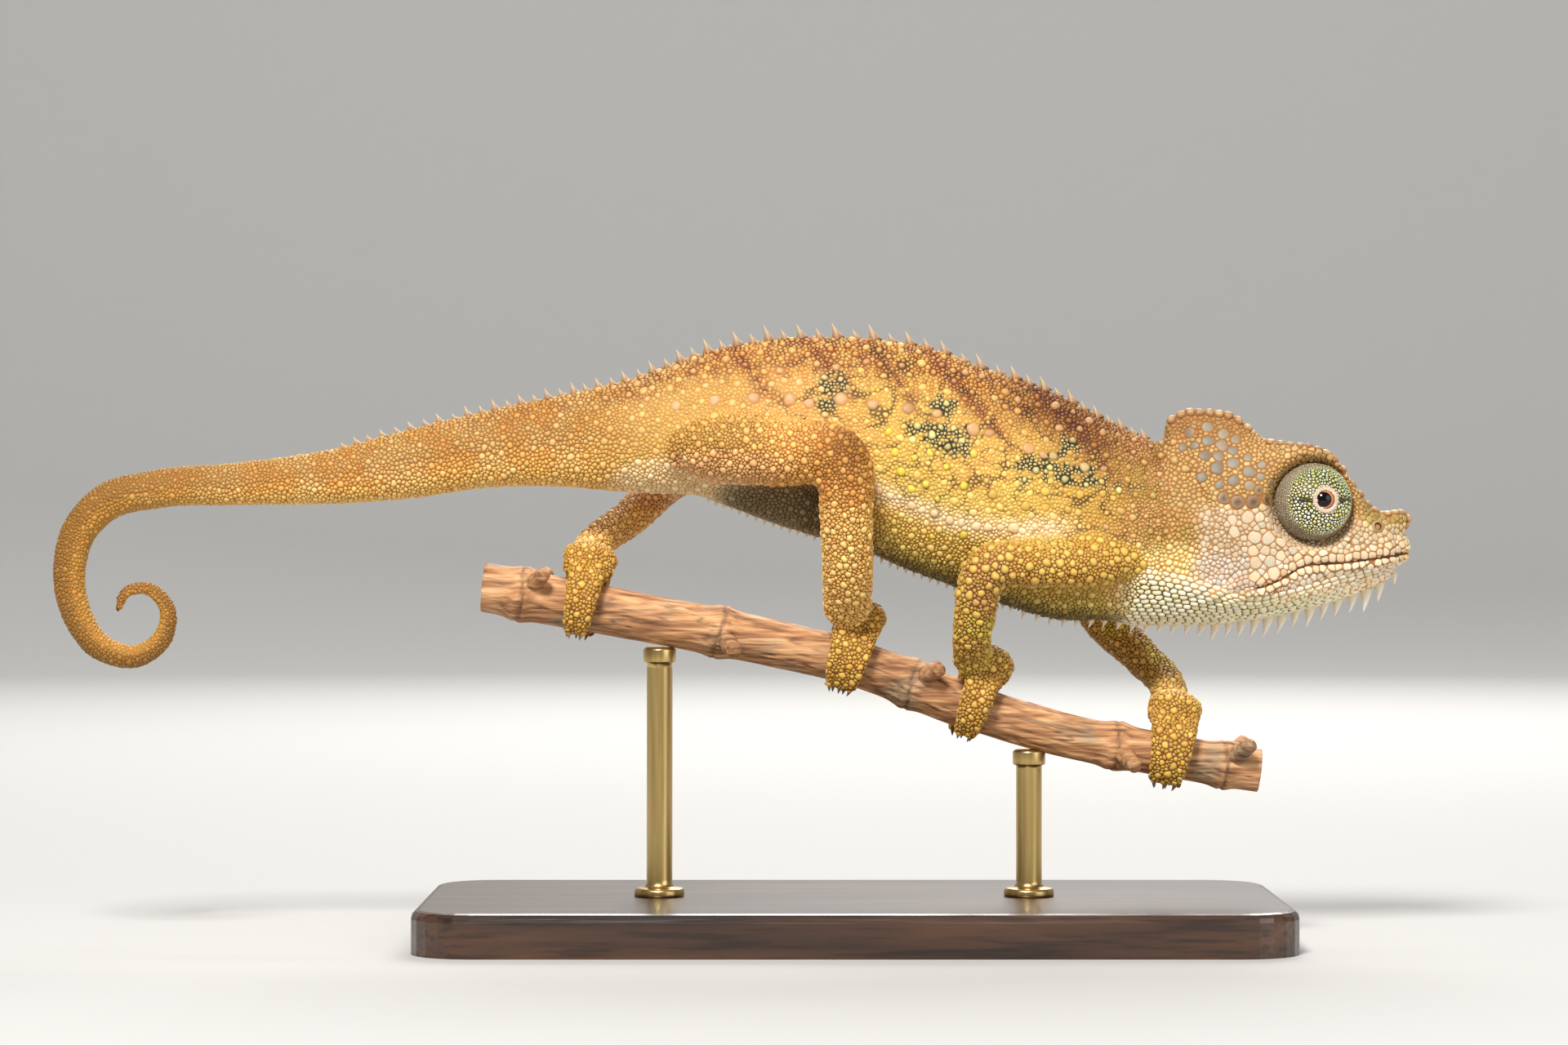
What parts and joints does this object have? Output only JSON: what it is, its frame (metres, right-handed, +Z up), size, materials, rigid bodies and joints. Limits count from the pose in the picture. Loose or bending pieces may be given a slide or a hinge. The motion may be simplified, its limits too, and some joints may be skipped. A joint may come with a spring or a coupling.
{
  "type": "von hoehnel's chameleon",
  "caption": "Life-size chameleon with a high casque, a spined back and throat and a curled tail, walking along a cut twig that short rods hold over a flat base.",
  "frame": {"origin": "middle of the underside of the stand's base", "axes": "+X along the twig towards the animal's head end, +Y towards the animal's left side, +Z up"},
  "size_m": [0.1581, 0.048, 0.0718],
  "materials": {
    "skin_body": "matt granular scales, ochre and yellow with orange and black marks",
    "skin_head": "matt plate scales, tan casque, pale cheeks and throat",
    "skin_leg": "matt granular scales, orange brown to golden",
    "skin_tail": "matt granular scales, tan with faint greyish bands",
    "skin_turret": "matt, fine green and yellow granules on dark skin",
    "eye": "wet gloss",
    "bark": "dry flaking bark",
    "stand_wood": "dark satin varnish",
    "stand_metal": "brushed"
  },
  "bodies": {
    "root": {"head": "skin_head", "eye_turret_right": "skin_turret", "eye_turret_left": "skin_turret", "eyeball_right": "eye", "eyeball_left": "eye", "neck": "skin_body", "torso": "skin_body", "tail_1": "skin_tail", "tail_2": "skin_tail", "tail_3": "skin_tail", "tail_4": "skin_tail", "tail_5": "skin_tail", "upper_arm_right": "skin_leg", "forearm_right": "skin_leg", "hand_right": "skin_leg", "upper_arm_left": "skin_leg", "forearm_left": "skin_leg", "hand_left": "skin_leg", "thigh_right": "skin_leg", "shin_right": "skin_leg", "foot_right": "skin_leg", "thigh_left": "skin_leg", "shin_left": "skin_leg", "foot_left": "skin_leg", "perch_twig": "bark", "stand_base": "stand_wood", "stand_rod_rear": "stand_metal", "stand_rod_front": "stand_metal"}
  },
  "joints": []
}
